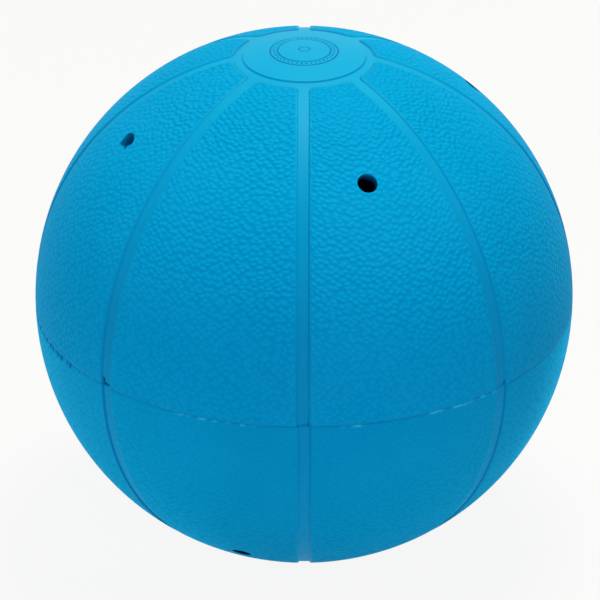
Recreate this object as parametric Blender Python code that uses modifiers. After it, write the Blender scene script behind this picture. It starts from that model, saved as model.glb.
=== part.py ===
"""Goalball: a hollow rubber ball in two bonded halves, with jingle bells loose inside it.

Lengths are in metres and angles in radians. +Z runs up through the crown of the upper half, and the
origin is the centre of the ball. Azimuths turn about +Z from +X.
"""

from math import acos, asin, cos, pi, radians, sin, sqrt

import bmesh
import bpy
from mathutils import Vector

# Rubber shell
BALL_DIAMETER = 0.2420
WALL = 0.0060
SEAM_CHAMFER = 0.0004

# Channels that divide the skin into panels, and the crown disc that they run up to
GROOVE_COUNT = 8
GROOVE_WIDTH = 0.0050
GROOVE_DEPTH = 0.0010
CROWN_DIAMETER = 0.0544
CROWN_RING_WIDTH = 0.0044
CROWN_RING_DROP = 0.0001

# Sound holes of one half, counted from the groove on the -Y side, each punched a little high or low
HOLE_DIAMETER = 0.0092
HOLE_LATITUDES = tuple(radians(angle) for angle in (49.5, 48.5, 48.0, 48.1))
HOLE_TURN = radians(20.0)

# Pressed bells
BELL_COUNT = 4
BELL_DIAMETER = 0.0320
BELL_SHEET = 0.0008
FLANGE_WIDTH = 0.0016
SLOT_COUNT = 2
SLOT_WIDTH = 0.0022
SLOT_REACH = radians(38.0)
SLOT_END_DIAMETER = 0.0046
PELLET_DIAMETER = 0.0080

# Hanger of a bell: a bent wire through the crown of one cup
HANGER_WIRE = 0.0016
HANGER_SPAN = 0.0060
HANGER_RISE = 0.0025
HANGER_FOOT = 0.0028

# Clearances: between pieces that seat on each other, and between pieces that roll on each other
SEAT_GAP = 0.0003
ROLL_GAP = 0.0006

# How far a cutter reaches past the face that it cuts
OVERCUT = 0.0040

# Finishes: linear colour, roughness, metallic
BLUE_RUBBER = ((0.004, 0.235, 0.479), 0.45, 0.0)
NICKEL_PLATE = ((0.66, 0.64, 0.60), 0.28, 1.0)
DRAWN_WIRE = ((0.55, 0.54, 0.52), 0.35, 1.0)
HARD_STEEL = ((0.50, 0.50, 0.51), 0.20, 1.0)

# Facets
BALL_STEPS = 48
CROWN_STEPS = 2
RING_STEPS = 1
PANEL_STEPS = 10
LINING_STEPS = 12
GROOVE_STEPS = 12
HOLE_STEPS = 20
BELL_STEPS = 24
CUP_STEPS = 6
HANGER_STEPS = 8
PELLET_STEPS = 16
SHARP_ANGLE = radians(32.0)
WELD_DISTANCE = 1e-6

# Worked out from the sizes above
BALL_RADIUS = BALL_DIAMETER / 2
LINING_RADIUS = BALL_RADIUS - WALL
CROWN_ANGLE = asin(CROWN_DIAMETER / 2 / BALL_RADIUS)
RING_ANGLE = CROWN_ANGLE + CROWN_RING_WIDTH / BALL_RADIUS
RING_FLOOR_RADIUS = BALL_RADIUS - GROOVE_DEPTH - CROWN_RING_DROP
CUP_RADIUS = BELL_DIAMETER / 2
CUP_INNER_RADIUS = CUP_RADIUS - BELL_SHEET
FLANGE_RADIUS = CUP_RADIUS + FLANGE_WIDTH
PELLET_PATH = CUP_INNER_RADIUS - PELLET_DIAMETER / 2 - ROLL_GAP
ROLL_RADIUS = LINING_RADIUS - FLANGE_RADIUS - ROLL_GAP
HUDDLE_RADIUS = (BELL_DIAMETER + SEAT_GAP) / (2 * sin(pi / BELL_COUNT))
HUDDLE_DEPTH = sqrt(ROLL_RADIUS**2 - HUDDLE_RADIUS**2)

# Directions: the -Y side by its azimuth, a half turn about X as a quaternion, and the axis of a cup
FRONT = -pi / 2
TURNED_OVER = (0.0, 1.0, 0.0, 0.0)
UP = Vector((0.0, 0.0, 1.0))


def clear_scene():
    """Remove whatever the scene holds."""
    for obj in list(bpy.data.objects):
        bpy.data.objects.remove(obj, do_unlink=True)


def new_collection(name):
    """Add a collection to the scene."""
    collection = bpy.data.collections.new(name)
    bpy.context.scene.collection.children.link(collection)
    return collection


def add_object(name, data, collection, parent=None):
    """Add an object to a collection. With no data it is an empty."""
    obj = bpy.data.objects.new(name, data)
    obj.parent = parent
    collection.objects.link(obj)
    return obj


def add_cutter(name, mesh, cutters):
    """Add a mesh that only cuts others."""
    obj = add_object(name, mesh, cutters)
    obj.hide_render = True
    obj.display_type = "WIRE"
    return obj


def material(name, finish):
    """Make a Principled material from a finish."""
    colour, roughness, metallic = finish
    made = bpy.data.materials.new(name)
    made.use_nodes = True
    shader = made.node_tree.nodes["Principled BSDF"]
    shader.inputs["Base Color"].default_value = (*colour, 1.0)
    shader.inputs["Roughness"].default_value = roughness
    shader.inputs["Metallic"].default_value = metallic
    return made


def evaluated_mesh(obj):
    """Return a copy of an object's mesh with its modifiers applied."""
    bpy.context.view_layer.update()
    graph = bpy.context.evaluated_depsgraph_get()
    return bpy.data.meshes.new_from_object(obj.evaluated_get(graph))


def arc(radius, start, stop, steps):
    """Points (x, z) of an arc about the origin, by angle from the +Z axis."""
    angles = [start + (stop - start) * step / steps for step in range(steps + 1)]
    return [(radius * sin(angle), radius * cos(angle)) for angle in angles]


def turned(name, profile, steps, collection):
    """Turn a profile of (x, z) points about the Z axis."""
    mesh = bpy.data.meshes.new(name)
    shape = bmesh.new()
    points = [shape.verts.new((x, 0.0, z)) for x, z in profile]
    for upper, lower in zip(points, points[1:]):
        shape.edges.new((upper, lower))
    shape.to_mesh(mesh)
    shape.free()
    obj = add_object(name, mesh, collection)
    screw = obj.modifiers.new("turn", "SCREW")
    screw.axis = "Z"
    screw.angle = 2 * pi
    screw.steps = steps
    screw.render_steps = steps
    screw.use_merge_vertices = True
    screw.merge_threshold = WELD_DISTANCE
    return obj


def finished_mesh(blank, cutters):
    """Cut a blank, keep the result as a smooth-shaded mesh and remove the blank."""
    for cutter in cutters:
        cut = blank.modifiers.new(cutter.name, "BOOLEAN")
        cut.operation = "DIFFERENCE"
        cut.object = cutter
    mesh = evaluated_mesh(blank)
    bpy.data.objects.remove(blank, do_unlink=True)
    smooth(mesh)
    return mesh


def smooth(mesh):
    """Shade a mesh smooth, with its real edges kept sharp."""
    mesh.shade_smooth()
    mesh.set_sharp_from_angle(angle=SHARP_ANGLE)


def cylinder(name, diameter, length, centre, direction, cutters):
    """A round cutter about a centre, along a direction."""
    mesh = bpy.data.meshes.new(name)
    shape = bmesh.new()
    radius = diameter / 2
    bmesh.ops.create_cone(
        shape,
        cap_ends=True,
        segments=HOLE_STEPS,
        radius1=radius,
        radius2=radius,
        depth=length,
    )
    shape.to_mesh(mesh)
    shape.free()
    obj = add_cutter(name, mesh, cutters)
    obj.location = centre
    obj.rotation_euler = direction.to_track_quat("Z", "Y").to_euler()
    return obj


def flat_cutter(name, outline, thickness, cutters):
    """A cutter from a closed outline in its own XY plane, half its thickness to each side."""
    curve = bpy.data.curves.new(name, "CURVE")
    curve.dimensions = "2D"
    curve.fill_mode = "BOTH"
    curve.extrude = thickness / 2
    spline = curve.splines.new("POLY")
    spline.points.add(len(outline) - 1)
    spline.use_cyclic_u = True
    for point, (x, y) in zip(spline.points, outline):
        point.co = (x, y, 0.0, 1.0)
    drawn = add_object(name, curve, cutters)
    mesh = evaluated_mesh(drawn)
    bpy.data.objects.remove(drawn, do_unlink=True)
    weld(mesh)
    return add_cutter(name, mesh, cutters)


def weld(mesh):
    """Join the caps of a converted curve to its sides."""
    shape = bmesh.new()
    shape.from_mesh(mesh)
    bmesh.ops.remove_doubles(shape, verts=shape.verts, dist=WELD_DISTANCE)
    bmesh.ops.recalc_face_normals(shape, faces=shape.faces)
    shape.to_mesh(mesh)
    shape.free()


def half_shell_profile():
    """Half a section of one rubber half: crown, ring channel, panel, rim and lining."""
    seam_angle = acos(SEAM_CHAMFER / BALL_RADIUS)
    crown = arc(BALL_RADIUS, 0.0, CROWN_ANGLE, CROWN_STEPS)
    ring = arc(RING_FLOOR_RADIUS, CROWN_ANGLE, RING_ANGLE, RING_STEPS)
    panel = arc(BALL_RADIUS, RING_ANGLE, seam_angle, PANEL_STEPS)
    rim = [(BALL_RADIUS - SEAM_CHAMFER, 0.0)]
    lining = arc(LINING_RADIUS, pi / 2, 0.0, LINING_STEPS)
    return crown + ring + panel + rim + lining


def groove_cutters(cutters):
    """One curved bar for each groove, from the ring channel to just past the seam."""
    floor_radius = BALL_RADIUS - GROOVE_DEPTH
    past_seam = pi / 2 + OVERCUT / BALL_RADIUS
    in_ring = (CROWN_ANGLE + RING_ANGLE) / 2
    floor = arc(floor_radius, in_ring, past_seam, GROOVE_STEPS)
    roof = arc(BALL_RADIUS + OVERCUT, past_seam, in_ring, GROOVE_STEPS)
    bars = []
    for index in range(GROOVE_COUNT):
        bar = flat_cutter(f"groove_bar_{index + 1}", floor + roof, GROOVE_WIDTH, cutters)
        bar.rotation_euler = (pi / 2, 0.0, 2 * pi * index / GROOVE_COUNT)
        bars.append(bar)
    return bars


def hole_cutters(cutters):
    """One radial drill for each sound hole."""
    drills = []
    for index, latitude in enumerate(HOLE_LATITUDES):
        azimuth = FRONT + HOLE_TURN + 2 * pi * index / len(HOLE_LATITUDES)
        level = cos(latitude)
        direction = Vector((level * cos(azimuth), level * sin(azimuth), sin(latitude)))
        centre = direction * (BALL_RADIUS - WALL / 2)
        length = WALL + 2 * OVERCUT
        drills.append(
            cylinder(f"hole_drill_{index + 1}", HOLE_DIAMETER, length, centre, direction, cutters)
        )
    return drills


def add_shell(ball, cutters):
    """The two rubber halves: one moulding, used as it is and turned over."""
    blank = turned("half_shell", half_shell_profile(), BALL_STEPS, cutters)
    mesh = finished_mesh(blank, groove_cutters(cutters) + hole_cutters(cutters))
    mesh.materials.append(material("blue_rubber", BLUE_RUBBER))
    add_object("upper_shell", mesh, ball)
    lower = add_object("lower_shell", mesh, ball)
    lower.rotation_mode = "QUATERNION"
    lower.rotation_quaternion = TURNED_OVER


def cup_profile():
    """Half a section of one pressed cup, dome up, with its flange just above the plane of the joint."""
    joint = SEAT_GAP / 2
    flange_top = joint + BELL_SHEET
    dome = arc(CUP_RADIUS, 0.0, acos(flange_top / CUP_RADIUS), CUP_STEPS)
    flange = [(FLANGE_RADIUS, flange_top), (FLANGE_RADIUS, joint)]
    lining = arc(CUP_INNER_RADIUS, acos(joint / CUP_INNER_RADIUS), 0.0, CUP_STEPS)
    return dome + flange + lining


def loop_cup_mesh(cutters):
    """Cup with two holes for the legs of the hanger."""
    bore = HANGER_WIRE + 2 * SEAT_GAP
    drills = []
    for side in (-1, 1):
        centre = Vector((side * HANGER_SPAN / 2, 0.0, CUP_RADIUS))
        drills.append(cylinder(f"hanger_drill_{side}", bore, 2 * OVERCUT, centre, UP, cutters))
    return finished_mesh(turned("loop_cup", cup_profile(), BELL_STEPS, cutters), drills)


def slotted_cup_mesh(cutters):
    """Cup with crossed slots that end in round holes."""
    reach = CUP_RADIUS * sin(SLOT_REACH)
    top = CUP_RADIUS + OVERCUT
    bottom = sqrt(CUP_INNER_RADIUS**2 - (reach + SLOT_END_DIAMETER / 2) ** 2) - OVERCUT
    height = top - bottom
    middle = (top + bottom) / 2
    outline = [
        (-reach, -SLOT_WIDTH / 2),
        (reach, -SLOT_WIDTH / 2),
        (reach, SLOT_WIDTH / 2),
        (-reach, SLOT_WIDTH / 2),
    ]
    tools = []
    for index in range(SLOT_COUNT):
        turn = pi * index / SLOT_COUNT
        saw = flat_cutter(f"slot_saw_{index + 1}", outline, height, cutters)
        saw.location.z = middle
        saw.rotation_euler.z = turn
        tools.append(saw)
        for side in (-1, 1):
            name = f"slot_drill_{index + 1}_{side}"
            centre = Vector((side * reach * cos(turn), side * reach * sin(turn), middle))
            tools.append(cylinder(name, SLOT_END_DIAMETER, height, centre, UP, cutters))
    return finished_mesh(turned("slotted_cup", cup_profile(), BELL_STEPS, cutters), tools)


def hanger_curve():
    """Wire loop over the dome, with its legs through the crown and its feet turned out inside."""
    half_span = HANGER_SPAN / 2
    foot_end = half_span + HANGER_FOOT
    foot_level = sqrt(CUP_INNER_RADIUS**2 - foot_end**2) - HANGER_WIRE - SEAT_GAP
    bow_level = CUP_RADIUS + HANGER_RISE
    bow = [(x, bow_level + z) for x, z in arc(half_span, -pi / 2, pi / 2, HANGER_STEPS)]
    left = [(-foot_end, foot_level), (-half_span, foot_level)]
    right = [(half_span, foot_level), (foot_end, foot_level)]
    curve = bpy.data.curves.new("hanger_wire", "CURVE")
    curve.dimensions = "3D"
    curve.bevel_depth = HANGER_WIRE / 2
    curve.bevel_resolution = 2
    curve.use_fill_caps = True
    route = left + bow + right
    spline = curve.splines.new("POLY")
    spline.points.add(len(route) - 1)
    for point, (x, z) in zip(spline.points, route):
        point.co = (x, 0.0, z, 1.0)
    return curve


def pellet_mesh():
    """Loose steel ball of a bell."""
    mesh = bpy.data.meshes.new("pellet")
    shape = bmesh.new()
    bmesh.ops.create_uvsphere(
        shape,
        u_segments=PELLET_STEPS,
        v_segments=PELLET_STEPS // 2,
        radius=PELLET_DIAMETER / 2,
    )
    shape.to_mesh(mesh)
    shape.free()
    smooth(mesh)
    return mesh


def add_bells(ball, cutters):
    """The bells, huddled at the bottom of the ball, each on its own swing about the ball's centre."""
    loop_cup = loop_cup_mesh(cutters)
    slotted_cup = slotted_cup_mesh(cutters)
    hanger = hanger_curve()
    pellet = pellet_mesh()
    plate = material("nickel_plate", NICKEL_PLATE)
    loop_cup.materials.append(plate)
    slotted_cup.materials.append(plate)
    hanger.materials.append(material("drawn_wire", DRAWN_WIRE))
    pellet.materials.append(material("hard_steel", HARD_STEEL))
    for index in range(BELL_COUNT):
        bell = f"bell_{index + 1}"
        swing = add_object(f"{bell}_swing", None, ball)
        swing.rotation_euler.z = 2 * pi * index / BELL_COUNT
        centre = add_object(f"{bell}_centre", None, ball, swing)
        centre.location = (HUDDLE_RADIUS, 0.0, -HUDDLE_DEPTH)
        # The bell lies on its flange, so its axis is level and its own +Y points down.
        centre.rotation_euler.x = -pi / 2
        add_object(f"{bell}_loop_cup", loop_cup, ball, centre)
        slotted = add_object(f"{bell}_slotted_cup", slotted_cup, ball, centre)
        slotted.rotation_mode = "QUATERNION"
        slotted.rotation_quaternion = TURNED_OVER
        add_object(f"{bell}_hanger_loop", hanger, ball, centre)
        roller = add_object(f"{bell}_pellet_roll", None, ball, centre)
        ringer = add_object(f"{bell}_pellet", pellet, ball, roller)
        ringer.location.y = PELLET_PATH


def main():
    """Build the ball."""
    clear_scene()
    ball = new_collection("goalball")
    cutters = new_collection("goalball_cutters")
    add_shell(ball, cutters)
    add_bells(ball, cutters)


main()
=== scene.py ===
"""Looks of a goalball: two moulded rubber halves with loose jingle bells inside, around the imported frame.

Lengths are in metres and angles in radians. The origin is the centre of the ball and +Z runs up through
the crown of the upper half. Azimuths turn about +Z from the groove on the -Y side, which faces the camera.
"""

import logging
from collections.abc import Callable
from dataclasses import dataclass
from enum import Enum
from functools import partial
from math import acos, asin, atan2, cos, degrees, floor, hypot, pi, radians, sin, sqrt
from typing import Any

import bmesh
import bpy
import numpy as np
from bmesh.types import BMEdge, BMesh, BMVert
from bpy.types import ID, Material, Mesh, NodeTree, Object, World
from mathutils import Matrix, Vector, noise


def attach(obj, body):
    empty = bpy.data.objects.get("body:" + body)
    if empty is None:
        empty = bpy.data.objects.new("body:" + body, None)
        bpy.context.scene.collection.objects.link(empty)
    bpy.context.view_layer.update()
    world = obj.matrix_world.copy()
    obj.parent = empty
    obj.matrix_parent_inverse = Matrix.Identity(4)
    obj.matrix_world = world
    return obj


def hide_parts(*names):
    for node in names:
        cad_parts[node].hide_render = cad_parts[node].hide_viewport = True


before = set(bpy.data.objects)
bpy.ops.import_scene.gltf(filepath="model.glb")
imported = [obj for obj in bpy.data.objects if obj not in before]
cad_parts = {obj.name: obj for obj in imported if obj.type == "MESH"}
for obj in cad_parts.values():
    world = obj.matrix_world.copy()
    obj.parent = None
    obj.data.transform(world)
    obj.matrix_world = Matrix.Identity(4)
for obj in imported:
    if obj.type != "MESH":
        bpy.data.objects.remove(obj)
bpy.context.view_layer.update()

log = logging.getLogger("goalball")

MM = 0.001
WELD = 1e-7
PHOTO_SIDE = 600

Span = tuple[float, float]
Triple = tuple[float, float, float]
Leg = tuple[float, int]
Adder = Callable[..., Any]

# Sockets of a Mix node that mixes colours: the first colour, the second one and the result.
MIX_LOW, MIX_HIGH, MIX_OUT = 6, 7, 2


class Half(Enum):
    """Which rubber half a moulding is: as moulded, or turned over."""

    UPPER = "upper"
    LOWER = "lower"


class Bore(Enum):
    """How cleanly a sound hole was punched."""

    CLEAN = "clean"
    TORN = "torn"


def linear(code: str) -> tuple[float, float, float, float]:
    """Turn an sRGB hex colour into a linear one.

    Args:
        code: six hex digits after a #.

    Returns:
        Red, green, blue and an alpha of 1.
    """
    channels = [int(code[i : i + 2], 16) / 255 for i in (1, 3, 5)]
    red, green, blue = (c / 12.92 if c <= 0.04045 else ((c + 0.055) / 1.055) ** 2.4 for c in channels)
    return red, green, blue, 1.0


def ramp(value: float, start: float, end: float) -> float:
    """Ease from 0 at start to 1 at end.

    Args:
        value: where on the ramp.
        start: where the ramp leaves 0.
        end: where it reaches 1, on either side of start.

    Returns:
        A number from 0 to 1.
    """
    share = min(1.0, max(0.0, (value - start) / (end - start)))
    return share * share * (3.0 - 2.0 * share)


def stops(start: float, *legs: Leg) -> list[float]:
    """Divide a length into legs of even steps.

    Args:
        start: the first stop.
        legs: where each leg ends, and its number of steps.

    Returns:
        Every stop, in order.
    """
    made = [start]
    for end, steps in legs:
        begin = made[-1]
        made += [begin + (end - begin) * i / steps for i in range(1, steps + 1)]
    return made


def add_node(
    tree: NodeTree, kind: str, settings: dict | None = None, links: dict | None = None, out: int | str = 0
) -> Any:
    """Add a node with its settings and links.

    Args:
        tree: where the node goes.
        kind: the node's class, without the word ShaderNode in front.
        settings: values by attribute or input socket; a number picks an input by its place.
        links: output sockets by the input that they feed.
        out: which of the node's outputs to hand back.

    Returns:
        That output socket, or None where the node has none.
    """
    node = tree.nodes.new(f"ShaderNode{kind}")
    for key, value in (settings or {}).items():
        if isinstance(key, str) and hasattr(node, key):
            setattr(node, key, value)
        else:
            node.inputs[key].default_value = value
    for key, socket in (links or {}).items():
        tree.links.new(socket, node.inputs[key])
    return node.outputs[out] if node.outputs else None


def node_adder(owner: Material | World) -> Adder:
    """Empty the node tree of a material or a world.

    Args:
        owner: the material or the world.

    Returns:
        The function that adds nodes to its tree.
    """
    owner.use_nodes = True
    owner.node_tree.nodes.clear()
    return partial(add_node, owner.node_tree)


def mesh_of(shape: BMesh, name: str) -> Mesh:
    """Turn a bmesh into a mesh and free it.

    Args:
        shape: the bmesh.
        name: the mesh's name.

    Returns:
        The mesh.
    """
    made = bpy.data.meshes.new(name)
    shape.to_mesh(made)
    shape.free()
    return made


def linked(name: str, data: ID) -> Object:
    """Put data into the scene as an object.

    Args:
        name: the object's name.
        data: its mesh, light or camera.

    Returns:
        The object.
    """
    made = bpy.data.objects.new(name, data)
    bpy.context.scene.collection.objects.link(made)
    return made


def closed_up(shape: BMesh) -> None:
    """Merge a shape's doubles and turn its faces outwards."""
    bmesh.ops.remove_doubles(shape, verts=shape.verts, dist=WELD)
    bmesh.ops.recalc_face_normals(shape, faces=shape.faces)


def extruded(shape: BMesh, edges: list[BMEdge], move: Callable[[Vector], Vector]) -> list[BMEdge]:
    """Pull a ring of edges out into a new wall.

    Args:
        shape: the bmesh.
        edges: the ring to pull.
        move: gives each new vertex its place from its old one.

    Returns:
        The edges of the new ring.
    """
    made = bmesh.ops.extrude_edge_only(shape, edges=edges)["geom"]
    ring = [part for part in made if isinstance(part, BMEdge) and part.is_boundary]
    for vert in {vert for edge in ring for vert in edge.verts}:
        vert.co = move(vert.co)
    return ring


def turned(shape: BMesh, profile: list[Span], steps: int) -> list[BMVert]:
    """Spin a half section about Z into a round form.

    Args:
        shape: the bmesh that takes the form.
        profile: radius and height of each point.
        steps: how many facets go round.

    Returns:
        The vertices of the form.
    """
    first = len(shape.verts)
    points = [shape.verts.new((radius, 0.0, level)) for radius, level in profile]
    edges = [shape.edges.new(pair) for pair in zip(points, points[1:])]
    bmesh.ops.spin(shape, geom=points + edges, axis=(0, 0, 1), angle=2 * pi, steps=steps, use_merge=True)
    return list(shape.verts)[first:]


def carved(name: str, body: Mesh, tool: Mesh, overlaps: bool) -> Mesh:
    """Cut one mesh out of another.

    Args:
        name: the result's name.
        body: the mesh to cut.
        tool: the closed mesh that cuts.
        overlaps: whether the tool's own parts run into each other.

    Returns:
        The cut mesh.
    """
    blank = linked(name, body)
    cutter = linked(f"{name}_cutter", tool)
    cut = blank.modifiers.new("cut", "BOOLEAN")
    cut.operation = "DIFFERENCE"
    cut.solver = "EXACT"
    cut.use_self = overlaps
    cut.object = cutter
    graph = bpy.context.evaluated_depsgraph_get()
    made = bpy.data.meshes.new_from_object(blank.evaluated_get(graph))
    for spare in (blank, cutter):
        bpy.data.objects.remove(spare)
    for spare in (body, tool):
        bpy.data.meshes.remove(spare)
    made.name = name
    return made


def add_piece(
    name: str, mesh: Mesh, material: Material, body: str, node: str, crease: float
) -> None:
    """Finish a piece and tie it to the frame.

    Args:
        name: the piece's name.
        mesh: its shape, in place.
        material: its finish.
        body: the CAD body that carries it.
        node: the CAD node that it stands for.
        crease: edges sharper than this stay sharp.
    """
    mesh.shade_smooth()
    mesh.set_sharp_from_angle(angle=crease)
    mesh.materials.clear()
    mesh.materials.append(material)
    piece = linked(name, mesh)
    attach(piece, body)
    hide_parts(node)
    log.info("%s: %d faces on %s", name, len(mesh.polygons), body)


@dataclass(frozen=True)
class BlueRubber:
    """Natural rubber, coloured in the mass and moulded with a leather grain.

    It looks satin rather than shiny. The soft round pebbles each catch a small light, and stand crisper
    near the crown; their valleys are painted darker as painted shade. The bare grooves and the crown are
    smoother, with a colour painted lighter towards the crown and darker towards the seam, painted light and
    painted shade. The lower half has one flat, darker panel colour as painted shade, with a pale powder
    sheen on its pebbles that fills the valleys. The raised flash is painted pale as a painted highlight, the
    fine marks, walls, pits and teeth hold painted shade, and the sound holes darken inwards with painted
    shadow.
    The spans in millimetres run along the distance from the ball's axis, or from its centre for the holes'
    painted shadow.
    """

    skin: str = "#008BC7"
    # Painted shade: the pebble valleys take a darker blue than the tops.
    valley_shade: str = "#0082BB"
    # Painted shade: the lower half's panels take one flat, slightly darker blue.
    lower_shade: str = "#0081B9"
    # The bare grooves and crown: a darker blue towards the seam as painted shade, and a lighter one towards
    # the crown as painted light from the soft box overhead.
    bare: str = "#017EB7"
    polished: str = "#028ABE"
    polish_span: Span = (62.0 * MM, 30.0 * MM)
    bare_light_span: Span = (118.0 * MM, 40.0 * MM)
    bloom: str = "#1490CB"
    powder: str = "#00B0E6"
    powder_share: Span = (0.32, 1.0)
    powder_fill: float = 0.45
    powder_spread: float = 0.52
    # Painted highlight: a pale blue on the raised flash lip along the seam.
    scuff: str = "#22A4D6"
    # Painted shade in recesses: crown marks, the crown step, panel ends, groove walls, nicks, seam teeth and
    # hole walls.
    grime: str = "#00468C"
    # Painted shadow down the sound holes: a near-black blue that grows with distance in from the outside of
    # the ball.
    bore_shadow: str = "#000A24"
    bore_shadow_span: Span = (121.0 * MM, 119.6 * MM)
    pebble_pitch: float = 2.3 * MM
    pebble_height: float = 0.29 * MM
    pebble_reach: float = 0.66
    pebble_round: float = 1.9
    pebble_merge: float = 0.25
    unevenness: float = 0.68
    grain_turn: float = pi / 4
    grain_stretch: Triple = (0.8, 1.0, 1.0)
    crisp_span: Span = (84.0 * MM, 62.0 * MM)
    crisp_gain: float = 2.0
    drift_pitch: float = 9.0 * MM
    drift_reach: float = 1.3 * MM
    pore_pitch: float = 0.6 * MM
    pore_share: float = 0.03
    cloud_pitch: float = 38.0 * MM
    haze_span: Span = (0.42, 0.75)
    haze_share: float = 0.18
    satin: Span = (0.42, 0.56)
    patchiness: float = 0.10
    sheen: Triple = (0.03, 0.012, 0.055)

    def relief(self, add: Adder, place: Any, panel: Any) -> tuple[Any, Any]:
        """Draw the pebbled grain.

        Args:
            add: adds a node to the material.
            place: Object coordinates.
            panel: how high the pebbles stand, 0 where the mould is bare.

        Returns:
            The pebbles from 0 in a valley to 1 on top, and the surface normal.
        """
        flat = add("Attribute", {"attribute_name": "grain_place"}, None, "Vector")
        aslant = {"Rotation": (0.0, 0.0, self.grain_turn), "Scale": self.grain_stretch}
        laid = add("Mapping", aslant, {"Vector": flat})
        drift = add("TexNoise", {"Scale": 1 / self.drift_pitch, "Detail": 1.0}, {"Vector": place}, "Color")
        warped = add(
            "VectorMath", {"operation": "MULTIPLY_ADD", 1: (self.drift_reach,) * 3}, {0: drift, 2: laid}
        )
        cells = add(
            "TexVoronoi",
            {
                "voronoi_dimensions": "2D",
                "feature": "SMOOTH_F1",
                "Scale": 1 / self.pebble_pitch,
                "Smoothness": self.pebble_merge,
                "Randomness": self.unevenness,
            },
            {"Vector": warped},
        )
        slope = add("Math", {"operation": "DIVIDE", 1: self.pebble_reach}, {0: cells})
        fall = add("Math", {"operation": "POWER", 1: 2.0}, {0: slope})
        rise = add("MapRange", {"From Min": 1.0, "From Max": 0.0}, {"Value": fall})
        domes = add("Math", {"operation": "POWER", 1: self.pebble_round}, {0: rise})
        pebbles = add("Math", {"operation": "MULTIPLY"}, {0: domes, 1: panel})
        pores = add("TexNoise", {"Scale": 1 / self.pore_pitch, "Detail": 2.0}, {"Vector": place})
        height = add("Math", {"operation": "MULTIPLY_ADD", 1: self.pore_share}, {0: pores, 2: pebbles})
        return domes, add("Bump", {"Distance": self.pebble_height}, {"Height": height})

    def build(self) -> Material:
        """Make the material.

        Returns:
            The material.
        """
        made = bpy.data.materials.new("blue_rubber_moulded")
        add = node_adder(made)
        place = add("TexCoord", None, None, "Object")
        panel, recess_shade, bored, flash_lit, powdered = (
            add("Attribute", {"attribute_name": name}, None, "Fac")
            for name in ("grain", "grime", "bored", "scuff", "powder")
        )
        aside = add("VectorMath", {"operation": "MULTIPLY", 1: (1.0, 1.0, 0.0)}, {0: place})
        reach, level = (
            add("VectorMath", {"operation": "LENGTH"}, {0: spot}, "Value") for spot in (aside, place)
        )
        clouds = add("TexNoise", {"Scale": 1 / self.cloud_pitch, "Detail": 3.0}, {"Vector": place})
        # Shares by place, among them the painted light on the bare rubber towards the crown and the painted
        # shadow deeper in the sound holes.
        handled, clean, crisp, deep_bore_shade, haze, filled, gloss = (
            add(
                "MapRange",
                {"From Min": start, "From Max": full, "To Min": low, "To Max": high},
                {"Value": source},
            )
            for source, start, full, low, high in (
                (reach, *self.polish_span, 0.0, 1.0),
                (reach, *self.bare_light_span, 0.0, 1.0),
                (reach, *self.crisp_span, 1.0, self.crisp_gain),
                (level, *self.bore_shadow_span, 0.0, 1.0),
                (clouds, *self.haze_span, 0.0, self.haze_share),
                (powdered, 0.0, 1.0, 1.0, 1.0 - self.powder_fill),
                (panel, 0.0, 1.0, *self.satin),
            )
        )
        deepened = add("Math", {"operation": "MULTIPLY"}, {0: filled, 1: crisp})
        raised = add("Math", {"operation": "MULTIPLY"}, {0: panel, 1: deepened})
        domes, normal = self.relief(add, place, raised)
        # The pebbles' valleys get painted shade, and their tops the plain skin colour.
        valley_shaded, bare = (
            add(
                "Mix",
                {"data_type": "RGBA", MIX_LOW: linear(low), MIX_HIGH: linear(high)},
                {0: share},
                MIX_OUT,
            )
            for share, low, high in ((domes, self.valley_shade, self.skin), (clean, self.bare, self.polished))
        )
        # Painted shade in the recesses and on the walls of the sound holes.
        painted_shade_share = add("Math", {"operation": "MAXIMUM"}, {0: recess_shade, 1: bored})
        # Painted shadow deeper down the sound holes.
        bore_shade_share = add("Math", {"operation": "MULTIPLY"}, {0: deep_bore_shade, 1: bored})
        # The lower half's panels take the flat darker blue, painted shade, in place of the pebble colours.
        tinted = {"data_type": "RGBA", MIX_HIGH: linear(self.lower_shade)}
        lower_shaded = add("Mix", tinted, {0: powdered, MIX_LOW: valley_shaded}, MIX_OUT)
        colour = add("Mix", {"data_type": "RGBA"}, {0: panel, MIX_LOW: bare, MIX_HIGH: lower_shaded}, MIX_OUT)
        # Laid on in turn: a random pale bloom, the painted highlight on the flash lip, the painted shade in
        # recesses and holes, and the painted shadow deep in the holes.
        layers = ((haze, self.bloom), (flash_lit, self.scuff), (painted_shade_share, self.grime), (bore_shade_share, self.bore_shadow))
        for share, tint in layers:
            tinted = {"data_type": "RGBA", MIX_HIGH: linear(tint)}
            colour = add("Mix", tinted, {0: share, MIX_LOW: colour}, MIX_OUT)
        patchy = add("Math", {"operation": "MULTIPLY_ADD", 1: self.patchiness}, {0: clouds, 2: gloss})
        bright, dull, slick = self.sheen
        bare_sheen = add("MapRange", {"To Min": bright, "To Max": slick}, {"Value": handled})
        sheen = add("MapRange", {"To Max": dull}, {"Value": panel, "To Min": bare_sheen})
        low, high = self.powder_share
        caught = add("MapRange", {"To Min": low, "To Max": high}, {"Value": domes})
        powder = add("Math", {"operation": "MULTIPLY"}, {0: powdered, 1: caught})
        shader = add(
            "BsdfPrincipled",
            {"Sheen Tint": linear(self.powder), "Sheen Roughness": self.powder_spread},
            {
                "Base Color": colour,
                "Roughness": patchy,
                "Specular IOR Level": sheen,
                "Sheen Weight": powder,
                "Normal": normal,
            },
        )
        add("OutputMaterial", None, {"Surface": shader})
        return made


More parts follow.
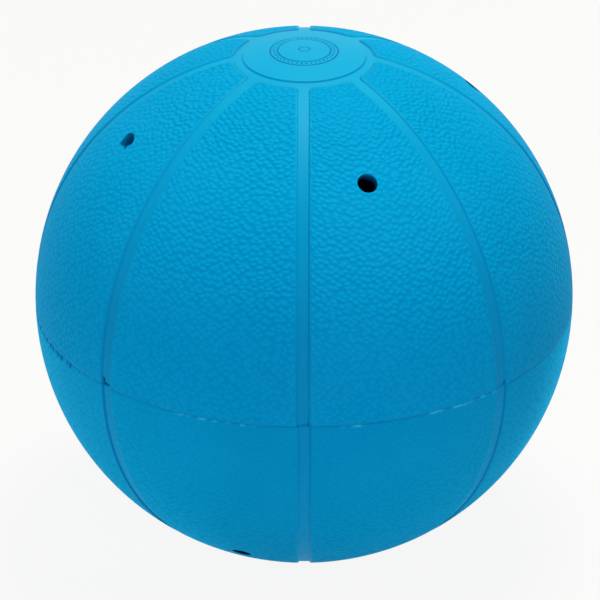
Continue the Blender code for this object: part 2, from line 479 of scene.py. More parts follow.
@dataclass(frozen=True)
class BellMetal:
    """A metal finish of a bell: its colour, its polish and the marks of how it was made.

    Plated sheet shows a bright soft mirror with fine tumbling scratches, drawn wire shows streaks along
    its length, and a hardened pellet is duller and greyer. The marks are drawn coarser than real ones.
    """

    name: str
    colour: str
    tarnish: str
    roughness: Span
    mark_pitch: float
    mark_stretch: Triple
    mark_depth: float
    mark_span: Span = (0.3, 0.7)
    stain_pitch: float = 6.0 * MM
    stain_span: Span = (0.45, 0.8)

    def build(self) -> Material:
        """Make the material.

        Returns:
            The material.
        """
        made = bpy.data.materials.new(self.name)
        add = node_adder(made)
        place = add("TexCoord", None, None, "Object")
        along = add("Mapping", {"Scale": self.mark_stretch}, {"Vector": place})
        marks = add("TexNoise", {"Scale": 1 / self.mark_pitch, "Detail": 4.0}, {"Vector": along})
        stain = add("TexNoise", {"Scale": 1 / self.stain_pitch, "Detail": 3.0}, {"Vector": place})
        blotch, polish = (
            add(
                "MapRange",
                {"From Min": start, "From Max": full, "To Min": low, "To Max": high},
                {"Value": source},
            )
            for source, start, full, low, high in (
                (stain, *self.stain_span, 0.0, 1.0),
                (marks, *self.mark_span, *self.roughness),
            )
        )
        tints = {"data_type": "RGBA", MIX_LOW: linear(self.colour), MIX_HIGH: linear(self.tarnish)}
        colour = add("Mix", tints, {0: blotch}, MIX_OUT)
        normal = add("Bump", {"Distance": self.mark_depth}, {"Height": marks})
        links = {"Base Color": colour, "Roughness": polish, "Normal": normal}
        shader = add("BsdfPrincipled", {"Metallic": 1.0}, links)
        add("OutputMaterial", None, {"Surface": shader})
        return made


@dataclass(frozen=True)
class Nick:
    """A scar where a groove meets the seam, measured from the middle of the groove and up from the seam."""

    groove: int
    across: float
    height: float
    wide: float
    tall: float
    depth: float
    core: float = 0.4

    def bite(self, across: float, height: float) -> float:
        """How deep the scar is at a point.

        Args:
            across: distance from the middle of the groove.
            height: distance above the seam.

        Returns:
            A share of the full depth.
        """
        reach = hypot((across - self.across) / self.wide, (height - self.height) / self.tall)
        return ramp(reach, 1.0, self.core)


@dataclass
class Shell:
    """The rubber ball: one half-round moulding, used as it is and turned over."""

    material: Material
    radius: float = 121.0 * MM
    wall: float = 6.0 * MM
    crease: float = radians(38.0)
    sectors: int = 8
    column_legs: tuple[Leg, ...] = ((1.7 * MM, 3), (3.2 * MM, 11), (5.2 * MM, 3))
    panel_columns: int = 14
    gate_leg: Leg = (3.0 * MM, 6)
    edge_rows: tuple[int, ...] = (5, 9, 7, 4)
    near_edge: float = 0.6 * MM
    near_rows: int = 11
    panel_leg: Leg = (34.5 * MM, 4)
    panel_rows: int = 50
    seam_rows: int = 16
    lining_rows: int = 16
    lining_end: float = radians(2.0)
    grain_fade: float = 0.7 * MM
    seam_fade: Span = (0.2 * MM, 1.2 * MM)
    groove_mouth: float = 2.90 * MM
    groove_floor: float = 2.20 * MM
    groove_depth: float = 0.75 * MM
    ring_depth: float = 0.75 * MM
    corner_round: float = 2.0 * MM
    crown_edge: float = 27.2 * MM
    crown_slope: float = 0.40 * MM
    ring_edge: float = 31.5 * MM
    mark_rings: Span = (11.7 * MM, 14.9 * MM)
    mark_width: float = 0.52 * MM
    mark_depth: float = 0.40 * MM
    # Painted shade in the crown's rings and dots, at the step of the crown disc and on the panel end walls
    # by the crown.
    mark_shade: float = 0.72
    edge_shade: float = 0.16
    end_shade: float = 0.35
    dots: int = 40
    dot_radius: float = 0.62 * MM
    gate_radius: float = 2.3 * MM
    seam_chamfer: float = 0.28 * MM
    seam_wander: float = 0.45 * MM
    seam_ripple: float = 0.15 * MM
    seam_band: float = 6.0 * MM
    wander_reach: float = 5.0 * MM
    worn_reach: float = 1.6 * MM
    wander_noise: Span = (9.0, 3.0)
    ripple_noise: Span = (70.0, 7.0)
    worn_noise: Span = (60.0, 5.0)
    tear_noise: Span = (48.0, 0.0)
    lip_noise: Span = (40.0, 0.0)
    seam_cuts: int = 3
    cut_least: float = 1.5 * MM
    flash_rise: float = 0.15 * MM
    flash_tall: Span = (1.5 * MM, 0.5 * MM)
    flash_gaps: Span = (-0.3, 0.4)
    span_fade: float = radians(2.0)
    flash_spans: tuple[Span, ...] = tuple(
        (radians(start), radians(end))
        for start, end in ((-28.0, -9.0), (7.0, 13.0), (25.0, 44.0), (104.0, 128.0), (-141.0, -118.0))
    )
    # Painted shade on the lower half's groove walls, one share for each groove.
    wall_shade: tuple[float, ...] = (0.10, 0.32, 0.25, 0.2, 0.2, 0.2, 0.25, 0.28)
    torn_span: Span = (radians(-99.0), radians(-53.0))
    # Teeth along the torn stretch of the lower seam: small dents with painted shade in them.
    tooth_depth: float = 0.7 * MM
    tooth_shade: float = 0.7
    tooth_reach: float = 2.8 * MM
    tooth_gaps: Span = (-0.05, 0.15)
    tooth_least: float = 0.1
    nick_facing: float = 0.9
    # How deep a nick goes before its painted shade is full.
    nick_shade_depth: float = 1.4 * MM
    slip: Span = (radians(-0.27), radians(0.05))
    nicks: tuple[Nick, ...] = tuple(
        Nick(groove, *(size * MM for size in sizes))
        for groove, *sizes in (
            (7, -2.2, 1.9, 0.9, 2.3, 1.7),
            (7, -0.5, 0.6, 2.0, 0.9, 1.5),
            (0, 0.4, 1.0, 4.6, 0.6, 0.35),
            (0, 1.9, 0.9, 0.5, 1.9, 0.5),
            (1, 2.0, 1.3, 0.6, 1.7, 0.8),
            (1, 0.7, 0.6, 1.0, 0.4, 0.5),
            (3, -1.2, 0.8, 1.8, 0.6, 0.9),
            (5, 0.6, 0.9, 2.4, 0.6, 0.8),
        )
    )
    hole_latitudes: tuple[float, ...] = (radians(49.5), radians(48.5), radians(48.0), radians(48.1))
    hole_turn: float = radians(20.0)
    hole_radius: float = 4.4 * MM
    hole_edge: float = 0.5 * MM
    hole_facets: int = 48
    punch_over: float = 2.0 * MM
    # Painted shade down the sound holes: the torn hole's even share, then the starting share at the rim of
    # the clean holes in the upper and in the lower half.
    torn_shade: float = 0.22
    clean_shade: float = 0.15
    under_shade: float = 3.0
    torn_turns: tuple[float, ...] = (4, 68, 126, 165, 199, 228, 262, 305, 314)
    torn_reaches: tuple[float, ...] = (3.6, 2.7, 3.9, 5.2, 5.0, 5.9, 3.3, 5.1, 2.8)

    def rows(self) -> list[float]:
        """Polar angles from the crown to the seam, close together at each edge.

        Returns:
            The angles in order.
        """
        legs = [self.gate_leg]
        for edge, steps in zip((*self.mark_rings, self.crown_edge, self.ring_edge), self.edge_rows):
            legs += [(edge - self.near_edge, steps), (edge + self.near_edge, self.near_rows)]
        first, *others = (asin(level / self.radius) for level in stops(0.0, *legs, self.panel_leg))
        band = acos(self.seam_band / self.radius)
        angles = stops(first, *((angle, 1) for angle in others), (band, self.panel_rows))
        heights = stops(self.seam_band, (self.seam_chamfer, self.seam_rows))
        return angles + [acos(height / self.radius) for height in heights[1:]]

    def inside_panel(self, offset: float, level: float) -> float:
        """How far a point lies inside the edge of its panel.

        Args:
            offset: distance from the middle of the groove.
            level: distance from the axis of the ball.

        Returns:
            The distance to the edge, negative in a groove or in the ring round the crown.
        """
        side, end = abs(offset) - self.groove_mouth, level - self.ring_edge
        short, shy = self.corner_round - side, self.corner_round - end
        if short > 0 and shy > 0:
            return self.corner_round - hypot(short, shy)
        return min(side, end)

    def crown_marks(self, level: float, azimuth: float) -> float:
        """How strongly the plain marks of the mould show on the crown disc: rings, dots and a gate.

        Args:
            level: distance from the axis of the ball.
            azimuth: angle from the sector's groove.

        Returns:
            A share of the full depth of a mark.
        """
        rings = (self.gate_radius, *self.mark_rings)
        share = max(ramp(abs(level - ring), self.mark_width, 0.0) for ring in rings)
        track = sum(self.mark_rings) / 2
        step = 2 * pi / self.dots
        turn = (azimuth % step) - step / 2
        return max(share, ramp(hypot(level - track, track * turn), self.dot_radius, self.dot_radius / 2))

    def depth(self, offset: float, level: float, azimuth: float) -> float:
        """How far the skin lies below the round of the ball.

        Args:
            offset: distance from the middle of the groove.
            level: distance from the axis of the ball.
            azimuth: angle from the groove.

        Returns:
            The depth.
        """
        slope = self.groove_mouth - self.groove_floor
        if level < (self.crown_edge + self.ring_edge) / 2:
            drop = ramp(level, self.crown_edge - self.crown_slope, self.crown_edge + self.crown_slope)
            return self.ring_depth * drop + self.mark_depth * self.crown_marks(level, azimuth)
        deeper = (self.groove_depth - self.ring_depth) * ramp(level, self.ring_edge, 2 * self.ring_edge)
        return (self.ring_depth + deeper) * ramp(self.inside_panel(offset, level), 0.0, -slope)

    def sector(self) -> BMesh:
        """Lay one eighth of the skin over the ball, with a groove down its middle.

        Returns:
            The sector, open on its sides and at the seam.
        """
        offsets, angles = stops(0.0, *self.column_legs), self.rows()
        half = len(offsets) - 1 + self.panel_columns
        tall = len(angles) - 1
        shape = bmesh.new()
        bmesh.ops.create_grid(shape, x_segments=2 * half, y_segments=tall, size=0.5)
        floats = shape.verts.layers.float
        grain, grime, wall = (floats.new(name) for name in ("grain", "grime", "groove_wall"))
        slope = self.groove_mouth - self.groove_floor
        edge = pi / self.sectors
        for vert in shape.verts:
            column = round(vert.co.x * 2 * half)
            polar = angles[round((0.5 - vert.co.y) * tall)]
            level = self.radius * sin(polar)
            guide = max(level, self.ring_edge)
            place = abs(column)
            if place < len(offsets):
                azimuth = asin(offsets[place] / guide)
            else:
                start = asin(offsets[-1] / guide)
                azimuth = start + (edge - start) * (place - len(offsets) + 1) / self.panel_columns
            offset = level * sin(azimuth)
            azimuth = azimuth if column > 0 else -azimuth
            height = self.radius * cos(polar)
            inside = self.inside_panel(offset, level)
            vert[grain] = ramp(inside, 0.0, self.grain_fade) * ramp(height, *self.seam_fade)
            # Painted shade at the step of the crown disc, in the crown marks and on the panel end walls near
            # the crown.
            brink = self.edge_shade * ramp(abs(level - self.crown_edge), 1.5 * self.crown_slope, 0.0)
            vert[wall] = ramp(inside, -1.5 * slope, -slope) * ramp(inside, 0.5 * slope, -0.5 * slope)
            ends = vert[wall] * ramp(level, self.ring_edge + 2 * self.corner_round, self.ring_edge)
            marks = self.mark_shade * self.crown_marks(level, azimuth)
            vert[grime] = max(marks, brink, self.end_shade * ends)
            length = self.radius - self.depth(offset, level, azimuth)
            vert.co = length * Vector((sin(polar) * sin(azimuth), -sin(polar) * cos(azimuth), cos(polar)))
        return shape

    def skin(self) -> BMesh:
        """Repeat the sector round the ball.

        Returns:
            The outside of one half, open at the seam.
        """
        shape = self.sector()
        geom = shape.verts[:] + shape.edges[:] + shape.faces[:]
        steps = self.sectors - 1
        turn = 2 * pi / self.sectors * steps
        bmesh.ops.spin(shape, geom=geom, axis=(0, 0, 1), angle=turn, steps=steps, use_duplicate=True)
        bmesh.ops.remove_doubles(shape, verts=shape.verts, dist=WELD * 10)
        laid = shape.verts.layers.float_vector.new("grain_place")
        for vert in shape.verts:
            vert[laid] = self.laid_flat(vert.co)
        return shape

    def laid_flat(self, spot: Vector) -> Vector:
        """Where a point of the skin lies when its panel is laid flat, each panel beside the last one.

        Args:
            spot: the point.

        Returns:
            Distance across the panel and down from the crown.
        """
        turn = 2 * pi / self.sectors
        azimuth = atan2(spot.x, -spot.y)
        panel = floor(azimuth / turn)
        across = spot.xy.length * (azimuth - (panel + 0.5) * turn)
        return Vector((across + panel * self.radius, self.radius * acos(spot.z / spot.length), 0.0))

    def uneven(self, flat: Vector, kind: Span) -> float:
        """Noise round the ball, by a level direction and the noise's scale and seed."""
        scale, seed = kind
        return noise.noise(flat * scale + Vector((0.0, 0.0, seed)))

    def within(self, outwards: Vector, *spans: Span) -> float:
        """How far a direction lies within any of some stretches of the seam.

        Args:
            outwards: the level direction, in the ball's own frame.
            spans: where each stretch begins and ends.

        Returns:
            0 outside, 1 inside, and less than 1 near an end.
        """
        azimuth = atan2(outwards.x, -outwards.y)
        fade = self.span_fade
        return max(ramp(azimuth, a, a + fade) * ramp(azimuth, b, b - fade) for a, b in spans)

    def along_seam(self, edge: BMEdge) -> bool:
        """Tell whether an edge is a long one that runs level, close to the seam.

        Args:
            edge: the edge.

        Returns:
            Whether it is.
        """
        first, second = (vert.co.z for vert in edge.verts)
        close = max(first, second) < self.seam_band / 2 and abs(first - second) < WELD * 10
        return close and edge.calc_length() > self.cut_least

    def trim_seam(self, shape: BMesh, half: Half) -> None:
        """Give the seam the uneven look of trimmed flash, torn on the -X side, and scar it at the grooves.
        The scars and torn teeth get painted shade, as do the lower half's groove walls, and the raised flash
        lip a painted highlight.

        Args:
            shape: the outside of one half.
            half: which half.
        """
        upper = half is Half.UPPER
        side = 1.0 if upper else -1.0
        floats = shape.verts.layers.float
        powder = floats.new("powder")
        for vert in shape.verts:
            vert[powder] = 0.0 if upper else 1.0
        band = [edge for edge in shape.edges if self.along_seam(edge)]
        bmesh.ops.subdivide_edges(shape, edges=band, cuts=self.seam_cuts, use_grid_fill=True)
        grime, wall, scuff = floats["grime"], floats["groove_wall"], floats.new("scuff")
        scale, seed = self.worn_noise
        for vert in shape.verts:
            height = vert.co.z
            flat = Vector((vert.co.x, vert.co.y, 0.0)).normalized()
            outwards = Vector((flat.x, side * flat.y, 0.0))
            if not upper:
                groove = round(atan2(outwards.x, -outwards.y) * self.sectors / (2 * pi)) % self.sectors
                # Painted shade on the lower half's groove walls.
                vert[grime] = max(vert[grime], self.wall_shade[groove] * vert[wall])
            if height > self.seam_band:
                continue
            near = ramp(height, self.worn_reach, self.seam_chamfer)
            dent = self.seam_ripple * (0.5 + self.uneven(outwards, (scale, seed * side))) * near
            pit_shade = 0.0
            if upper:
                for nick in self.nicks:
                    turn = 2 * pi * nick.groove / self.sectors
                    if flat.x * sin(turn) - flat.y * cos(turn) > self.nick_facing:
                        across = self.radius * (flat.x * cos(turn) + flat.y * sin(turn))
                        bite = nick.depth * nick.bite(across, height)
                        dent += bite
                        # The nick's pit gets painted shade as it deepens.
                        pit_shade = max(pit_shade, ramp(bite, 0.0, self.nick_shade_depth))
            else:
                tear = ramp(self.uneven(outwards, self.tear_noise), *self.tooth_gaps)
                tear *= self.within(outwards, self.torn_span)
                reach = self.seam_chamfer + self.tooth_reach * max(tear, self.tooth_least)
                # A tooth dents the skin, and its painted shade follows the same shape.
                pit_shade = tear * ramp(height, reach, reach / 2)
                dent += self.tooth_depth * pit_shade
                pit_shade *= self.tooth_shade
                lip = ramp(self.uneven(outwards, self.lip_noise), *self.flash_gaps)
                lip *= self.within(outwards, *self.flash_spans)
                lip *= ramp(height, *self.flash_tall)
                dent -= self.flash_rise * lip
                # The raised flash lip gets a painted highlight.
                vert[scuff] = lip
            vert.co -= flat * dent
            stray = self.seam_wander * self.uneven(outwards, self.wander_noise)
            stray += self.seam_ripple * self.uneven(outwards, self.ripple_noise)
            vert.co.z += side * stray * ramp(height, self.wander_reach, self.seam_chamfer)
            vert[grime] = max(vert[grime], pit_shade)

    def line(self, shape: BMesh) -> None:
        """Close the skin with its chamfer, its rim and the smooth lining.

        Args:
            shape: the outside of one half.
        """
        inner = self.radius - self.wall
        edges = [edge for edge in shape.edges if edge.is_boundary]

        def chamfer(spot: Vector) -> Vector:
            """Step in and down to the seam."""
            inwards = (spot.xy.length - self.seam_chamfer) * spot.xy.normalized().to_3d()
            return inwards + Vector((0.0, 0.0, spot.z - self.seam_chamfer))

        def lined(polar: float) -> Callable[[Vector], Vector]:
            """Place a ring of the lining at a polar angle."""
            rise = Vector((0, 0, inner * cos(polar)))
            return lambda spot: inner * (spot.xy.normalized() * sin(polar)).to_3d() + rise

        edges = extruded(shape, edges, chamfer)
        for polar in stops(pi / 2, (self.lining_end, self.lining_rows)):
            edges = extruded(shape, edges, lined(polar))
        verts = list({vert for edge in edges for vert in edge.verts})
        bmesh.ops.pointmerge(shape, verts=verts, merge_co=(0, 0, inner))
        bmesh.ops.recalc_face_normals(shape, faces=shape.faces)

    def punch(self, index: int) -> Matrix:
        """Where a sound hole goes.

        Args:
            index: which hole, from the front.

        Returns:
            The turn from +Z to the hole's own direction.
        """
        azimuth = self.hole_turn + 2 * pi * index / len(self.hole_latitudes)
        tilt = Matrix.Rotation(pi / 2 - self.hole_latitudes[index], 4, "X")
        return Matrix.Rotation(azimuth, 4, "Z") @ tilt

    def bore_reach(self, kind: Bore, spot: Vector) -> float:
        """How far a sound hole reaches from its axis.

        Args:
            kind: how the hole is punched.
            spot: a point in the hole's own frame, which says in what direction.

        Returns:
            The distance from the axis to the wall.
        """
        if kind is Bore.CLEAN:
            return self.hole_radius
        turn = degrees(atan2(spot.y, spot.x))
        return float(np.interp(turn, self.torn_turns, self.torn_reaches, period=360.0)) * MM

    def drills(self, bores: tuple[Bore, ...]) -> Mesh:
        """The punches for one half's sound holes.

        Args:
            bores: how each hole is punched, from the front.

        Returns:
            The closed cutters as one mesh.
        """
        shape = bmesh.new()
        bore = self.hole_radius
        top, foot = self.radius + self.punch_over, self.radius - self.wall - self.punch_over
        levels = (top, self.radius - self.hole_edge, self.radius - self.wall / 2, foot)
        profile = [(0.0, top), *((bore, level) for level in levels), (0.0, foot)]
        for index, kind in enumerate(bores):
            verts = turned(shape, profile, self.hole_facets)
            for vert in verts:
                if vert.co.xy.length > 0.5 * bore:
                    vert.co.xy *= self.bore_reach(kind, vert.co) / bore
            bmesh.ops.transform(shape, matrix=self.punch(index), verts=verts)
        closed_up(shape)
        return mesh_of(shape, "sound_hole_punches")

    def shade_holes(self, mesh: Mesh, half: Half, bores: tuple[Bore, ...], slip: float) -> None:
        """Carry the grain of the panels on to the rims of the sound holes, and paint shade on the walls
        below.

        The cut leaves stray values on the walls, so their points are found by place.

        Args:
            mesh: one half, as moulded, with its holes.
            half: which half.
            bores: how each hole is punched, from the front.
            slip: how far the half was turned.
        """
        mesh.attributes.new("bored", "FLOAT", "POINT")
        names = ("grain_place", "grain", "grime", "powder", "scuff", "bored")
        laid, grain, grime, powder, scuff, bored = (mesh.attributes[name].data for name in names)
        upper = half is Half.UPPER
        back = Matrix.Rotation(-slip, 3, "Z")
        widest = max(self.torn_reaches) * MM
        rim_shade = self.clean_shade if upper else self.under_shade
        for index, kind in enumerate(bores):
            aside = self.punch(index).inverted()
            for vert in mesh.vertices:
                spot = aside @ vert.co
                off = spot.xy.length
                if spot.z < 0 or off > widest or off > self.bore_reach(kind, spot) + self.hole_edge / 4:
                    continue
                at = vert.index
                sunk = self.radius - vert.co.length
                deep = sunk > self.hole_edge / 2
                laid[at].vector = self.laid_flat(back @ vert.co)
                grain[at].value = 0.0 if deep else 1.0
                powder[at].value = 0.0 if upper or deep else 1.0
                grime[at].value = 0.0
                scuff[at].value = 0.0
                # Painted shade down the bore: a starting share at the rim that is full by the wall's depth,
                # while the torn hole keeps one even share.
                bore_shade_share = rim_shade + (1.0 - rim_shade) * ramp(sunk, self.hole_edge, self.wall)
                bore_shade_share = self.torn_shade if kind is Bore.TORN else bore_shade_share
                bored[at].value = bore_shade_share if deep else 0.0

    def build(self) -> None:
        """Make both halves and tie them to the frame."""
        skin = self.skin()
        clean = (Bore.CLEAN,) * 4
        bores = {Half.UPPER: (*clean[:3], Bore.TORN), Half.LOWER: clean}
        for half in Half:
            name, node = f"{half.value}_half", f"{half.value}_shell"
            shape = skin.copy()
            slip = self.slip[0] if half is Half.UPPER else -self.slip[1]
            bmesh.ops.rotate(shape, verts=shape.verts, matrix=Matrix.Rotation(slip, 3, "Z"))
            self.trim_seam(shape, half)
            self.line(shape)
            blank = mesh_of(shape, "half_blank")
            mesh = carved(name, blank, self.drills(bores[half]), overlaps=False)
            self.shade_holes(mesh, half, bores[half], slip)
            if half is Half.LOWER:
                mesh.transform(Matrix.Rotation(pi, 4, "X"))
            add_piece(name, mesh, self.material, "ball", node, self.crease)
        skin.free()


@dataclass
class Bell:
    """A pressed jingle bell: two cups, a wire hanger and a loose pellet."""

    plate: Material
    wire: Material
    steel: Material
    count: int = 4
    radius: float = 16.0 * MM
    crease: float = radians(35.0)
    facets: int = 72
    dome_steps: int = 20
    fillet_steps: int = 5
    lip_steps: int = 8
    sheet: float = 0.8 * MM
    flange: float = 1.6 * MM
    gap: float = 0.15 * MM
    fillet: float = 0.9 * MM
    slot_width: float = 1.1 * MM
    slot_reach: float = radians(38.0)
    slot_end: float = 2.3 * MM
    slot_depth: float = 12.0 * MM
    slot_facets: int = 32
    drill_depth: float = 8.0 * MM
    drill_facets: int = 24
    wire_radius: float = 0.8 * MM
    wire_facets: int = 16
    wire_bend: float = 1.1 * MM
    bend_steps: int = 6
    bow_steps: int = 24
    hanger_half: float = 3.0 * MM
    hanger_rise: float = 2.5 * MM
    foot_reach: float = 5.8 * MM
    foot_level: float = 12.15 * MM
    pellet_radius: float = 4.0 * MM
    pellet_path: float = 10.6 * MM
    pellet_steps: int = 36
    pellet_facets: int = 48
    pellet_flat: float = radians(14.0)
    pellet_band: float = 0.10 * MM
    band_span: Span = (radians(9.0), radians(4.0))
    huddle: Span = (22.8395 * MM, 94.067 * MM)

    def place(self, index: int) -> Matrix:
        """Where a bell lies: on its flange, with its axis level.

        Args:
            index: which bell.

        Returns:
            The bell's own frame.
        """
        out, down = self.huddle
        spot = Matrix.Translation((out, 0.0, -down))
        turn = Matrix.Rotation(2 * pi * index / self.count, 4, "Z")
        return turn @ spot @ Matrix.Rotation(-pi / 2, 4, "X")

    def cup_section(self) -> list[Span]:
        """Half a section of a cup, with a filleted neck and a rounded flange edge.

        Returns:
            Radius and height of each point, from the crown outside to the crown inside.
        """
        inner = self.radius - self.sheet
        top = self.gap + self.sheet
        rest = top + self.fillet
        neck = sqrt((self.radius + self.fillet) ** 2 - rest**2)
        lean = asin(rest / (self.radius + self.fillet))
        sweep = stops(0.0, (pi / 2 - lean, self.dome_steps))
        dome = [(self.radius * sin(a), self.radius * cos(a)) for a in sweep]
        sweep = stops(pi + lean, (1.5 * pi, self.fillet_steps))
        root = [(neck + self.fillet * cos(a), rest + self.fillet * sin(a)) for a in sweep[1:]]
        round_, edge = self.sheet / 2, self.radius + self.flange - self.sheet / 2
        sweep = stops(pi / 2, (-pi / 2, self.lip_steps))
        lip = [(edge + round_ * cos(a), self.gap + round_ + round_ * sin(a)) for a in sweep]
        sweep = stops(asin(self.gap / inner), (pi / 2, self.dome_steps))
        lining = [(inner * cos(a), inner * sin(a)) for a in sweep]
        return dome + root + lip + lining

    def cup(self, name: str, cutter: BMesh) -> Mesh:
        """Press a cup and cut its openings.

        Args:
            name: the mesh's name.
            cutter: what cuts it.

        Returns:
            The cup, dome up.
        """
        shape = bmesh.new()
        turned(shape, self.cup_section(), self.facets)
        closed_up(shape)
        closed_up(cutter)
        blank, tool = mesh_of(shape, f"{name}_blank"), mesh_of(cutter, f"{name}_tool")
        return carved(name, blank, tool, overlaps=True)

    def peg(self, shape: BMesh, pose: Matrix, radius: float, depth: float, facets: int) -> None:
        """Add a round cutter to a shape, by its pose, its size and how many facets go round."""
        size = {"radius1": radius, "radius2": radius, "depth": depth, "segments": facets}
        bmesh.ops.create_cone(shape, cap_ends=True, matrix=pose, **size)

    def leg_drills(self) -> BMesh:
        """The holes for the legs of the hanger.

        Returns:
            The cutter.
        """
        shape = bmesh.new()
        radius = self.wire_radius + 2 * self.gap
        for side in (-1, 1):
            pose = Matrix.Translation((side * self.hanger_half, 0.0, self.radius))
            self.peg(shape, pose, radius, self.drill_depth, self.drill_facets)
        return shape

    def slot_tools(self) -> BMesh:
        """The crossed slots and the round holes at their ends.

        Returns:
            The cutter.
        """
        shape = bmesh.new()
        reach = self.radius * sin(self.slot_reach)
        lift = Matrix.Translation((0.0, 0.0, self.radius))
        bar = Matrix.Diagonal((2 * reach, 2 * self.slot_width, self.slot_depth, 1.0))
        for turn in (0.0, pi / 2):
            spin = Matrix.Rotation(turn, 4, "Z")
            bmesh.ops.create_cube(shape, size=1.0, matrix=spin @ lift @ bar)
            for side in (-1, 1):
                pose = spin @ lift @ Matrix.Translation((side * reach, 0.0, 0.0))
                self.peg(shape, pose, self.slot_end, self.slot_depth, self.slot_facets)
        return shape

    def hanger(self) -> Mesh:
        """Bend the hanger: a foot, a leg, the bow, and the other leg and foot.

        Returns:
            The wire, its feet inside the cup.
        """
        shape = bmesh.new()
        made = bmesh.ops.create_circle(shape, segments=self.wire_facets, radius=self.wire_radius)["verts"]
        start = Matrix.Translation((-self.foot_reach, 0.0, self.foot_level))
        bmesh.ops.transform(shape, matrix=start @ Matrix.Rotation(pi / 2, 4, "Y"), verts=made)
        edges = list({edge for vert in made for edge in vert.link_edges})
        bow = self.radius + self.hanger_rise
        turn, level = self.hanger_half + self.wire_bend, self.foot_level + self.wire_bend
        straight, rise = self.foot_reach - turn, bow - level
        for step, centre, angle, steps in (
            ((straight, 0.0, 0.0), (-turn, 0.0, level), -pi / 2, self.bend_steps),
            ((0.0, 0.0, rise), (0.0, 0.0, bow), pi, self.bow_steps),
            ((0.0, 0.0, -rise), (turn, 0.0, level), -pi / 2, self.bend_steps),
        ):
            edges = extruded(shape, edges, lambda spot: spot + Vector(step))
            geom = list({vert for edge in edges for vert in edge.verts}) + edges
            bent = bmesh.ops.spin(shape, geom=geom, cent=centre, axis=(0, 1, 0), angle=angle, steps=steps)
            edges = [part for part in bent["geom_last"] if isinstance(part, BMEdge)]
        extruded(shape, edges, lambda spot: spot + Vector((straight, 0.0, 0.0)))
        bmesh.ops.holes_fill(shape, edges=[edge for edge in shape.edges if edge.is_boundary], sides=0)
        closed_up(shape)
        return mesh_of(shape, "hanger_wire")

    def pellet(self) -> Mesh:
        """Head a pellet from wire: a ball with small flats at its poles and a faint band where dies met.

        Returns:
            The pellet about its own centre.
        """
        outline = []
        for angle in stops(self.pellet_flat, (pi - self.pellet_flat, self.pellet_steps)):
            swell = self.pellet_band * ramp(abs(angle - pi / 2), *self.band_span)
            length = self.pellet_radius - self.pellet_band + swell
            outline.append((length * sin(angle), length * cos(angle)))
        shape = bmesh.new()
        turned(shape, [(0.0, outline[0][1]), *outline, (0.0, outline[-1][1])], self.pellet_facets)
        closed_up(shape)
        return mesh_of(shape, "pellet")

    def build(self) -> None:
        """Make each bell's pieces and tie them to the frame."""
        plain, over = Matrix(), Matrix.Rotation(pi, 4, "X")
        ring = Matrix.Translation((0.0, self.pellet_path, 0.0))
        loop_cup = self.cup("loop_cup", self.leg_drills())
        slotted_cup = self.cup("slotted_cup", self.slot_tools())
        kinds = (
            ("loop_cup", loop_cup, plain, self.plate, "bell", "bell_plate"),
            ("slotted_cup", slotted_cup, over, self.plate, "bell", "bell_plate"),
            ("hanger_loop", self.hanger(), plain, self.wire, "bell", "hanger_wire"),
            ("pellet", self.pellet(), ring, self.steel, "pellet", "pellet_steel"),
        )
        for number in range(1, self.count + 1):
            for kind, mesh, seat, material, body, slot in kinds:
                copy = mesh.copy()
                copy.transform(self.place(number - 1) @ seat)
                node = f"bell_{number}_{kind}"
                add_piece(f"{node}_dressed", copy, material, f"{body}_{number}", node, self.crease)
        for _, mesh, *_ in kinds:
            bpy.data.meshes.remove(mesh)


@dataclass(frozen=True)
class Lamp:
    """A round soft lamp that points at the ball; one without a gleam leaves no highlight."""

    name: str
    spot: Triple
    size: float
    power: float
    tint: str
    gleam: bool = False

    def hang(self) -> None:
        """Put the lamp into the scene."""
        light = bpy.data.lights.new(self.name, "AREA")
        light.shape = "DISK"
        light.size = self.size
        light.energy = self.power
        light.color = linear(self.tint)[:3]
        lamp = linked(self.name, light)
        lamp.location = self.spot
        lamp.rotation_euler = (-Vector(self.spot)).to_track_quat("-Z", "Y").to_euler()
        lamp.visible_glossy = self.gleam


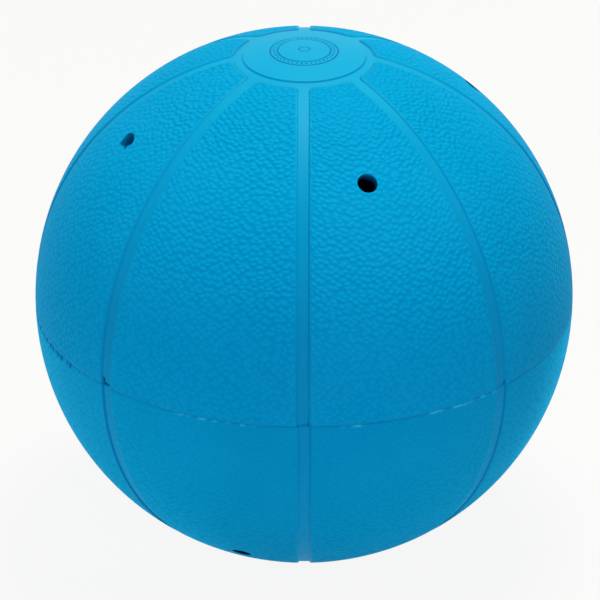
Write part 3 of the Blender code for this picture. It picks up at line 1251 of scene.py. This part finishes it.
@dataclass
class Studio:
    """Pale floor, soft light and the camera.

    A soft box hangs overhead, weak fills stand in front and at the left, and two low lamps behind light the
    ball's edges.
    """

    floor_level: float = -121.0 * MM
    floor_reach: float = 6.0
    white: str = "#FBFBFB"
    floor_colour: str = "#E0E0E0"
    shadow_share: float = 0.07
    ambient: float = 0.30
    lamps: tuple[Lamp, ...] = (
        Lamp("soft_box", (0.10, 0.10, 0.90), 0.4, 9.6, "#FFFFDE", gleam=True),
        Lamp("front_fill", (0.22, -1.55, 0.40), 1.4, 12.6, "#FFFFFF"),
        Lamp("left_fill", (-1.50, 0.10, 0.10), 0.4, 8.3, "#FFFFEE"),
        Lamp("left_rim", (-0.80, 1.00, -0.02), 0.2, 4.0, "#FFFFEE"),
        Lamp("right_rim", (0.80, 1.00, -0.02), 0.2, 8.5, "#FFFFEE"),
    )
    distance: float = 1.730
    elevation: float = radians(27.8)
    sensor_mm: float = 36.0
    lens_mm: float = 229.9
    frame_shift: Span = (-4.07 / PHOTO_SIDE, -5.83 / PHOTO_SIDE)

    def seen(self, add: Adder) -> Any:
        """Tell whether a ray is one that shows the background.

        Args:
            add: adds a node to the floor or the world.

        Returns:
            A socket that is 1 for camera, glossy and transmission rays.
        """
        camera = add("LightPath", None, None, "Is Camera Ray")
        rays = camera.node.outputs
        either = add("Math", {"operation": "MAXIMUM"}, {0: camera, 1: rays["Is Glossy Ray"]})
        return add("Math", {"operation": "MAXIMUM"}, {0: either, 1: rays["Is Transmission Ray"]})

    def light_world(self) -> None:
        """Light the room evenly, and show it white."""
        world = bpy.data.worlds.new("studio_room")
        add = node_adder(world)
        air = add("Background", {"Color": (1.0, 1.0, 1.0, 1.0), "Strength": self.ambient})
        paper = add("Background", {"Color": linear(self.white), "Strength": 1.0})
        mix = add("MixShader", None, {0: self.seen(add), 1: air, 2: paper})
        add("OutputWorld", None, {"Surface": mix})
        bpy.context.scene.world = world

    def lay_floor(self) -> None:
        """Lay a pale floor that keeps a soft shadow of the ball."""
        shape = bmesh.new()
        level = Matrix.Translation((0, 0, self.floor_level))
        bmesh.ops.create_grid(shape, x_segments=1, y_segments=1, size=self.floor_reach, matrix=level)
        made = bpy.data.materials.new("paper_sweep")
        add = node_adder(made)
        matt = add("BsdfDiffuse", {"Color": linear(self.floor_colour)})
        paper = add("Emission", {"Color": linear(self.white), "Strength": 1.0})
        share = add("Math", {"operation": "MULTIPLY", 1: 1.0 - self.shadow_share}, {0: self.seen(add)})
        mix = add("MixShader", None, {0: share, 1: matt, 2: paper})
        add("OutputMaterial", None, {"Surface": mix})
        mesh = mesh_of(shape, "floor")
        mesh.materials.append(made)
        linked("floor", mesh)

    def set_camera(self) -> None:
        """Stand the camera where the photograph was taken."""
        data = bpy.data.cameras.new("camera")
        data.sensor_width = self.sensor_mm
        data.lens = self.lens_mm
        data.shift_x, data.shift_y = self.frame_shift
        camera = linked("camera", data)
        back = Vector((0.0, -cos(self.elevation), sin(self.elevation)))
        camera.location = back * self.distance
        camera.rotation_euler = (-back).to_track_quat("-Z", "Y").to_euler()
        bpy.context.scene.camera = camera

    def build(self) -> None:
        """Set up the room."""
        bpy.context.scene.view_settings.view_transform = "Standard"
        self.light_world()
        self.lay_floor()
        for lamp in self.lamps:
            lamp.hang()
        self.set_camera()


def main() -> None:
    """Build the studio and every piece."""
    logging.basicConfig(level=logging.INFO, format="%(name)s: %(message)s")
    Studio().build()
    Shell(material=BlueRubber().build()).build()
    even, drawn = (1.0, 1.0, 1.0), (1.0, 1.0, 0.12)
    plate = BellMetal("nickel_plated_steel", "#D3CFC6", "#A39C8C", (0.16, 0.34), 0.35 * MM, even, 0.004 * MM)
    wire = BellMetal("drawn_steel_wire", "#B9B7B2", "#8E8A82", (0.28, 0.46), 0.30 * MM, drawn, 0.006 * MM)
    steel = BellMetal("hardened_steel", "#AEB0B3", "#84868A", (0.20, 0.40), 0.25 * MM, even, 0.005 * MM)
    Bell(plate.build(), wire.build(), steel.build()).build()


if __name__ == "__main__":
    main()
